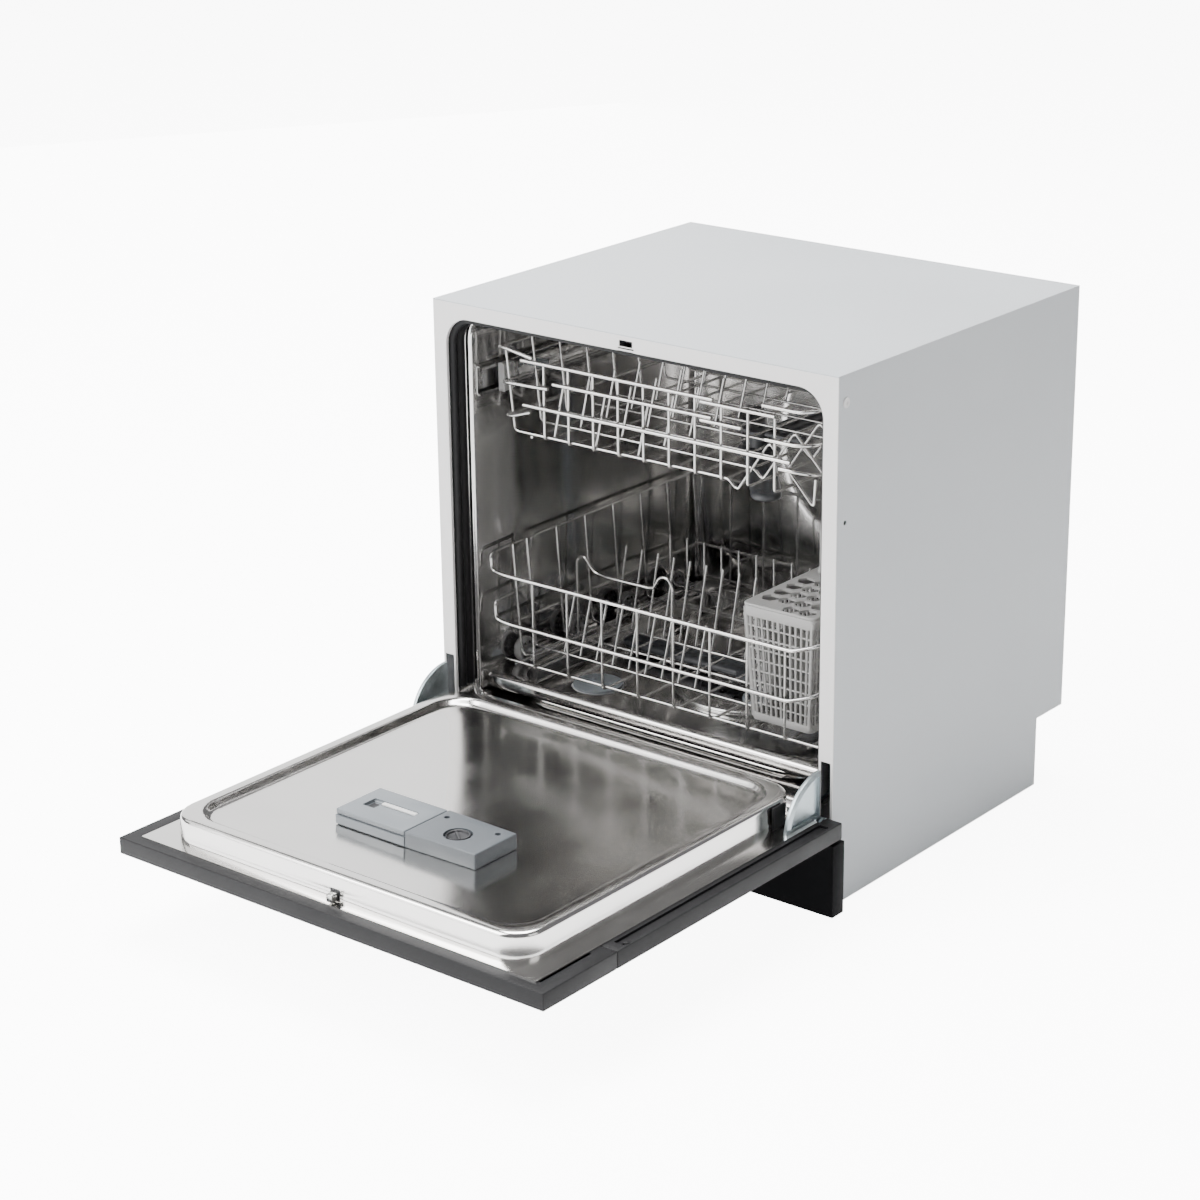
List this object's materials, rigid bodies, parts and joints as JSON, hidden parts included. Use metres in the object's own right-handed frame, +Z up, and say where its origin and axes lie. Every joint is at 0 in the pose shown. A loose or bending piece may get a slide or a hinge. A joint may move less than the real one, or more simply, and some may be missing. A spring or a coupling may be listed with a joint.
{
  "type": "compact dishwasher",
  "caption": "Compact front-loading dishwasher, drop-down door open, with two sliding wire racks, cutlery basket, spray arms, dispenser and steel tub.",
  "frame": {"origin": "centre of the footprint of the whole part with the door open, at floor height", "axes": "+Z up, the door opens towards -Y, +X to the right seen from the back of the cabinet looking out"},
  "size_m": [0.584, 0.973, 0.595],
  "materials": {
    "grey_paint": "satin",
    "flange_paint": "satin",
    "stainless": "polished",
    "hinge_steel": "satin",
    "slide_steel": "satin",
    "black_plastic": "matte",
    "black_gloss": "gloss",
    "dark_plastic": "matte",
    "black_rubber": "matte",
    "wire_coating": "satin",
    "grey_plastic": "satin",
    "light_plastic": "satin",
    "white_plastic": "matte",
    "bitumen": "matte",
    "blue_plastic": "matte"
  },
  "bodies": {
    "cabinet": {"side_panels": "grey_paint", "top_panel": "grey_paint", "front_flange": "flange_paint", "back_panel": "grey_paint", "base_tray": "dark_plastic", "feet": "black_plastic", "panel_screws": "flange_paint", "tub": "stainless", "wheel_tracks": "stainless", "door_gasket": "black_rubber", "strike": "dark_plastic", "plinth": "black_plastic", "hinge_brackets": "hinge_steel", "slide_outers": "slide_steel", "sump": "dark_plastic", "filter_plate": "stainless", "heater": "stainless", "circulation_pump": "dark_plastic", "drain_pump": "blue_plastic", "softener": "white_plastic", "inlet_valve": "white_plastic", "drain_stub": "black_plastic", "cable_gland": "black_plastic", "feed_duct": "grey_plastic"},
    "door": {"door_panel": "black_plastic", "control_panel": "black_plastic", "door_fill": "bitumen", "door_pan": "stainless", "hinge_arms": "hinge_steel", "pan_baffles": "black_plastic", "door_buffers": "dark_plastic", "display_window": "black_gloss", "latch_case": "dark_plastic", "dispenser": "grey_plastic"},
    "upper_rack": {"upper_rack": "wire_coating", "slide_inners": "slide_steel", "slide_caps": "light_plastic", "upper_feed": "grey_plastic"},
    "lower_rack": {"lower_rack": "wire_coating"},
    "basket": {"basket": "light_plastic", "basket_lid": "light_plastic"},
    "slide_middles": {"slide_middles": "black_plastic"},
    "filter_cup": {"filter_cup": "grey_plastic"},
    "lower_arm": {"lower_arm": "grey_plastic"},
    "salt_cap": {"salt_cap": "grey_plastic"},
    "button_1": {"button_1": "dark_plastic"},
    "button_2": {"button_2": "dark_plastic"},
    "button_3": {"button_3": "dark_plastic"},
    "power_button": {"power_button": "dark_plastic"},
    "latch_tongue": {"latch_tongue": "stainless"},
    "dispenser_lid": {"dispenser_lid": "grey_plastic"},
    "rinse_cap": {"rinse_cap": "dark_plastic"},
    "upper_arm": {"upper_arm": "grey_plastic"},
    "wheel_row_1": {"wheel_row_1": "grey_plastic"},
    "wheel_row_2": {"wheel_row_2": "grey_plastic"},
    "wheel_row_3": {"wheel_row_3": "grey_plastic"},
    "wheel_row_4": {"wheel_row_4": "grey_plastic"},
    "tine_row": {"tine_row": "wire_coating"},
    "basket_handle": {"basket_handle": "light_plastic"}
  },
  "joints": [
    {"name": "door_hinge", "type": "hinge", "parent": "cabinet", "child": "door", "pos_m": [0, 0.0024, 0.1032], "axis": [1, 0, 0], "range_deg": [-90, 0]},
    {"name": "lower_rack_slide", "type": "slide", "parent": "cabinet", "child": "lower_rack", "axis": [0, -1, 0], "range_m": [0, 0.3]},
    {"name": "upper_rack_slide", "type": "slide", "parent": "cabinet", "child": "upper_rack", "axis": [0, -1, 0], "range_m": [0, 0.23]},
    {"name": "slide_middles_travel", "type": "slide", "parent": "cabinet", "child": "slide_middles", "axis": [0, -1, 0], "range_m": [0, 0.115]},
    {"name": "wheel_row_1_roll", "type": "hinge", "parent": "lower_rack", "child": "wheel_row_1", "pos_m": [0, 0.1065, 0.15705], "axis": [1, 0, 0], "range_deg": [0, 1150]},
    {"name": "wheel_row_2_roll", "type": "hinge", "parent": "lower_rack", "child": "wheel_row_2", "pos_m": [0, 0.2035, 0.15705], "axis": [1, 0, 0], "range_deg": [0, 1150]},
    {"name": "wheel_row_3_roll", "type": "hinge", "parent": "lower_rack", "child": "wheel_row_3", "pos_m": [0, 0.3005, 0.15705], "axis": [1, 0, 0], "range_deg": [0, 1150]},
    {"name": "wheel_row_4_roll", "type": "hinge", "parent": "lower_rack", "child": "wheel_row_4", "pos_m": [0, 0.3975, 0.15705], "axis": [1, 0, 0], "range_deg": [0, 1150]},
    {"name": "lower_arm_spin", "type": "hinge", "parent": "cabinet", "child": "lower_arm", "pos_m": [0, 0.2535, 0.13], "axis": [0, 0, 1], "continuous": true},
    {"name": "upper_arm_spin", "type": "hinge", "parent": "upper_rack", "child": "upper_arm", "pos_m": [0, 0.2535, 0.406], "axis": [0, 0, 1], "continuous": true},
    {"name": "dispenser_lid_slide", "type": "slide", "parent": "door", "child": "dispenser_lid", "axis": [1, 0, 0], "range_m": [-0.06, 0]},
    {"name": "rinse_cap_turn", "type": "hinge", "parent": "door", "child": "rinse_cap", "pos_m": [0.05, -0.3315, 0.15], "axis": [0, 0, 1], "range_deg": [-90, 0]},
    {"name": "latch_tongue_slide", "type": "slide", "parent": "door", "child": "latch_tongue", "axis": [0, -1, 0], "range_m": [-0.006, 0], "stiffness_N_per_m": 200},
    {"name": "power_button_press", "type": "slide", "parent": "door", "child": "power_button", "axis": [0, 0, -1], "range_m": [-0.0012, 0], "stiffness_N_per_m": 400},
    {"name": "button_1_press", "type": "slide", "parent": "door", "child": "button_1", "axis": [0, 0, -1], "range_m": [-0.001, 0], "stiffness_N_per_m": 400},
    {"name": "button_2_press", "type": "slide", "parent": "door", "child": "button_2", "axis": [0, 0, -1], "range_m": [-0.001, 0], "stiffness_N_per_m": 400},
    {"name": "button_3_press", "type": "slide", "parent": "door", "child": "button_3", "axis": [0, 0, -1], "range_m": [-0.001, 0], "stiffness_N_per_m": 400},
    {"name": "basket_lift", "type": "slide", "parent": "lower_rack", "child": "basket", "axis": [0, 0, -1], "range_m": [-0.04, 0]},
    {"name": "basket_handle_fold", "type": "hinge", "parent": "basket", "child": "basket_handle", "pos_m": [0.156, 0.1985, 0.30505], "axis": [1, 0, 0], "range_deg": [-85, 0]},
    {"name": "tine_row_fold", "type": "hinge", "parent": "lower_rack", "child": "tine_row", "pos_m": [0, 0.32981, 0.1635], "axis": [-1, 0, 0], "range_deg": [-75, 0]},
    {"name": "filter_cup_turn", "type": "hinge", "parent": "cabinet", "child": "filter_cup", "pos_m": [0.028, 0.2255, 0.1], "axis": [0, 0, 1], "range_deg": [-90, 0]},
    {"name": "salt_cap_turn", "type": "hinge", "parent": "cabinet", "child": "salt_cap", "pos_m": [-0.15, 0.1415, 0.11], "axis": [0, 0, 1], "range_deg": [-90, 0]}
  ],
  "couplings": [
    {"joint": "slide_middles_travel", "follows": "upper_rack_slide", "ratio": 0.5},
    {"joint": "wheel_row_1_roll", "follows": "lower_rack_slide", "rad_per_m": 66.667},
    {"joint": "wheel_row_2_roll", "follows": "lower_rack_slide", "rad_per_m": 66.667},
    {"joint": "wheel_row_3_roll", "follows": "lower_rack_slide", "rad_per_m": 66.667},
    {"joint": "wheel_row_4_roll", "follows": "lower_rack_slide", "rad_per_m": 66.667}
  ]
}
